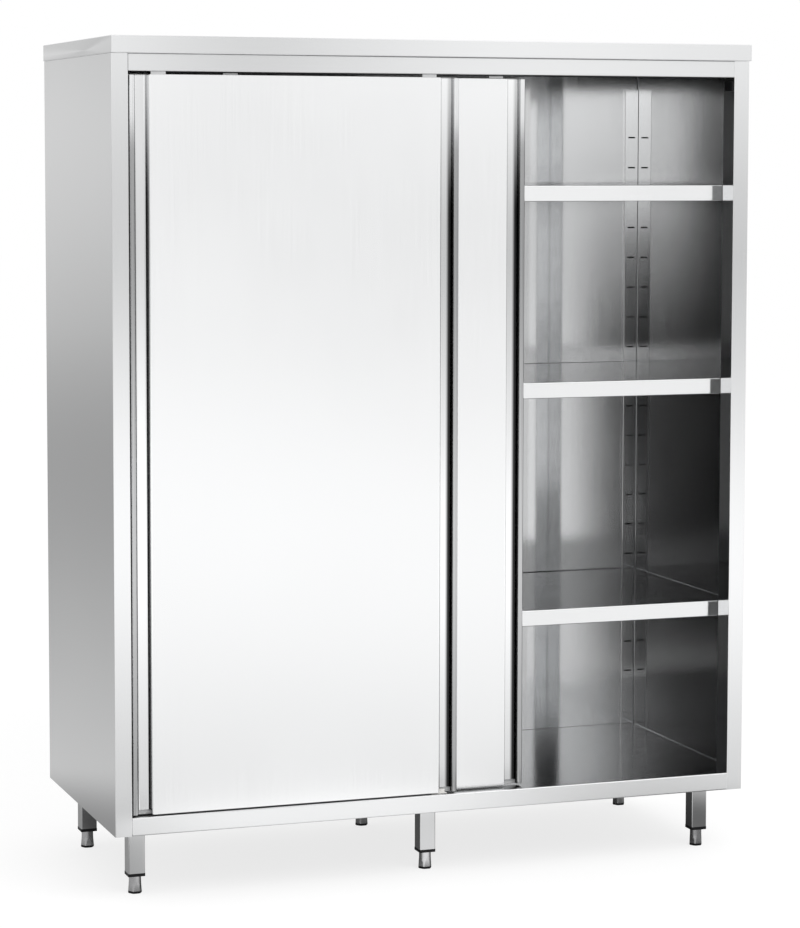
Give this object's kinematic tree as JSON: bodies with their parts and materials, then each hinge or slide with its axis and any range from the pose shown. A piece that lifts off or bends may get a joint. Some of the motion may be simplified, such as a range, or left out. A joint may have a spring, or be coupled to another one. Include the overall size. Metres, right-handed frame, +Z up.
{
  "type": "sliding-door storage cupboard",
  "caption": "Tall free-standing stainless-steel catering cupboard on square legs with levelling feet, top-hung sliding doors with formed grips, and adjustable shelves on clips.",
  "frame": {"origin": "on the ground, under the middle of the cupboard's overall width and depth, with the feet screwed fully in", "axes": "+Z up, +X to the right of someone who stands before the doors, +Y from the doors to the back; the doors face -Y"},
  "size_m": [1.6, 0.7, 2],
  "materials": {
    "steel_sheet": "finely ground stainless-steel sheet, satin",
    "bright_steel": "bright turned stainless steel",
    "plated_steel": "zinc-plated strip",
    "track_aluminium": "extruded, satin",
    "white_nylon": "moulded, matt",
    "black_plastic": "moulded, satin",
    "black_rubber": "matt"
  },
  "bodies": {
    "carcass": {"top_panel": "steel_sheet", "left_side_panel": "steel_sheet", "right_side_panel": "steel_sheet", "back_panel": "steel_sheet", "floor_panel": "steel_sheet", "floor_stiffener": "steel_sheet", "header_rail": "steel_sheet", "pilaster_front_left": "steel_sheet", "pilaster_front_right": "steel_sheet", "pilaster_rear_left": "steel_sheet", "pilaster_rear_right": "steel_sheet", "shelf_clip_lower_front_left": "bright_steel", "shelf_clip_lower_front_right": "bright_steel", "shelf_clip_lower_rear_left": "bright_steel", "shelf_clip_lower_rear_right": "bright_steel", "shelf_clip_middle_front_left": "bright_steel", "shelf_clip_middle_front_right": "bright_steel", "shelf_clip_middle_rear_left": "bright_steel", "shelf_clip_middle_rear_right": "bright_steel", "shelf_clip_upper_front_left": "bright_steel", "shelf_clip_upper_front_right": "bright_steel", "shelf_clip_upper_rear_left": "bright_steel", "shelf_clip_upper_rear_right": "bright_steel", "door_track": "track_aluminium", "floor_guide": "white_nylon", "left_door_buffer": "black_rubber", "right_door_buffer": "black_rubber", "leg_front_left": "steel_sheet", "leg_front_middle": "steel_sheet", "leg_front_right": "steel_sheet", "leg_rear_left": "steel_sheet", "leg_rear_middle": "steel_sheet", "leg_rear_right": "steel_sheet", "leg_insert_front_left": "black_plastic", "leg_insert_front_middle": "black_plastic", "leg_insert_front_right": "black_plastic", "leg_insert_rear_left": "black_plastic", "leg_insert_rear_middle": "black_plastic", "leg_insert_rear_right": "black_plastic"},
    "front_door": {"front_door_skin": "steel_sheet", "front_door_inner_pan": "steel_sheet", "front_door_hanger_left": "plated_steel", "front_door_hanger_right": "plated_steel"},
    "front_door_left_wheel": {"front_door_roller_left": "white_nylon"},
    "front_door_right_wheel": {"front_door_roller_right": "white_nylon"},
    "rear_door": {"rear_door_skin": "steel_sheet", "rear_door_inner_pan": "steel_sheet", "rear_door_hanger_left": "plated_steel", "rear_door_hanger_right": "plated_steel"},
    "rear_door_left_wheel": {"rear_door_roller_left": "white_nylon"},
    "rear_door_right_wheel": {"rear_door_roller_right": "white_nylon"},
    "low_shelf": {"lower_shelf": "steel_sheet"},
    "mid_shelf": {"middle_shelf": "steel_sheet"},
    "high_shelf": {"upper_shelf": "steel_sheet"},
    "levelling_foot_front_left": {"foot_front_left": "bright_steel"},
    "levelling_foot_front_middle": {"foot_front_middle": "bright_steel"},
    "levelling_foot_front_right": {"foot_front_right": "bright_steel"},
    "levelling_foot_rear_left": {"foot_rear_left": "bright_steel"},
    "levelling_foot_rear_middle": {"foot_rear_middle": "bright_steel"},
    "levelling_foot_rear_right": {"foot_rear_right": "bright_steel"}
  },
  "joints": [
    {"name": "front_door_slide", "type": "slide", "parent": "carcass", "child": "front_door", "axis": [1, 0, 0], "range_m": [0, 0.7104]},
    {"name": "rear_door_slide", "type": "slide", "parent": "carcass", "child": "rear_door", "axis": [1, 0, 0], "range_m": [-0.1789, 0.5315]},
    {"name": "front_left_roller_turn", "type": "hinge", "parent": "front_door", "child": "front_door_left_wheel", "pos_m": [-0.6839, -0.31515, 1.94], "axis": [0, 1, 0], "range_deg": [0, 3560]},
    {"name": "front_right_roller_turn", "type": "hinge", "parent": "front_door", "child": "front_door_right_wheel", "pos_m": [-0.0265, -0.31515, 1.94], "axis": [0, 1, 0], "range_deg": [0, 3560]},
    {"name": "rear_left_roller_turn", "type": "hinge", "parent": "rear_door", "child": "rear_door_left_wheel", "pos_m": [-0.505, -0.28815, 1.94], "axis": [0, 1, 0], "range_deg": [-900, 2660]},
    {"name": "rear_right_roller_turn", "type": "hinge", "parent": "rear_door", "child": "rear_door_right_wheel", "pos_m": [0.1524, -0.28815, 1.94], "axis": [0, 1, 0], "range_deg": [-900, 2660]},
    {"name": "lower_shelf_lift", "type": "slide", "parent": "carcass", "child": "low_shelf", "axis": [0, 0, 1], "range_m": [0, 0.397]},
    {"name": "middle_shelf_lift", "type": "slide", "parent": "carcass", "child": "mid_shelf", "axis": [0, 0, 1], "range_m": [0, 0.397]},
    {"name": "upper_shelf_lift", "type": "slide", "parent": "carcass", "child": "high_shelf", "axis": [0, 0, 1], "range_m": [0, 0.2382]},
    {"name": "front_left_foot_screw", "type": "slide", "parent": "carcass", "child": "levelling_foot_front_left", "axis": [0, 0, -1], "range_m": [0, 0.03]},
    {"name": "front_middle_foot_screw", "type": "slide", "parent": "carcass", "child": "levelling_foot_front_middle", "axis": [0, 0, -1], "range_m": [0, 0.03]},
    {"name": "front_right_foot_screw", "type": "slide", "parent": "carcass", "child": "levelling_foot_front_right", "axis": [0, 0, -1], "range_m": [0, 0.03]},
    {"name": "rear_left_foot_screw", "type": "slide", "parent": "carcass", "child": "levelling_foot_rear_left", "axis": [0, 0, -1], "range_m": [0, 0.03]},
    {"name": "rear_middle_foot_screw", "type": "slide", "parent": "carcass", "child": "levelling_foot_rear_middle", "axis": [0, 0, -1], "range_m": [0, 0.03]},
    {"name": "rear_right_foot_screw", "type": "slide", "parent": "carcass", "child": "levelling_foot_rear_right", "axis": [0, 0, -1], "range_m": [0, 0.03]}
  ],
  "couplings": [
    {"joint": "front_left_roller_turn", "follows": "front_door_slide", "rad_per_m": 86.957},
    {"joint": "front_right_roller_turn", "follows": "front_door_slide", "rad_per_m": 86.957},
    {"joint": "rear_left_roller_turn", "follows": "rear_door_slide", "rad_per_m": 86.957},
    {"joint": "rear_right_roller_turn", "follows": "rear_door_slide", "rad_per_m": 86.957}
  ]
}
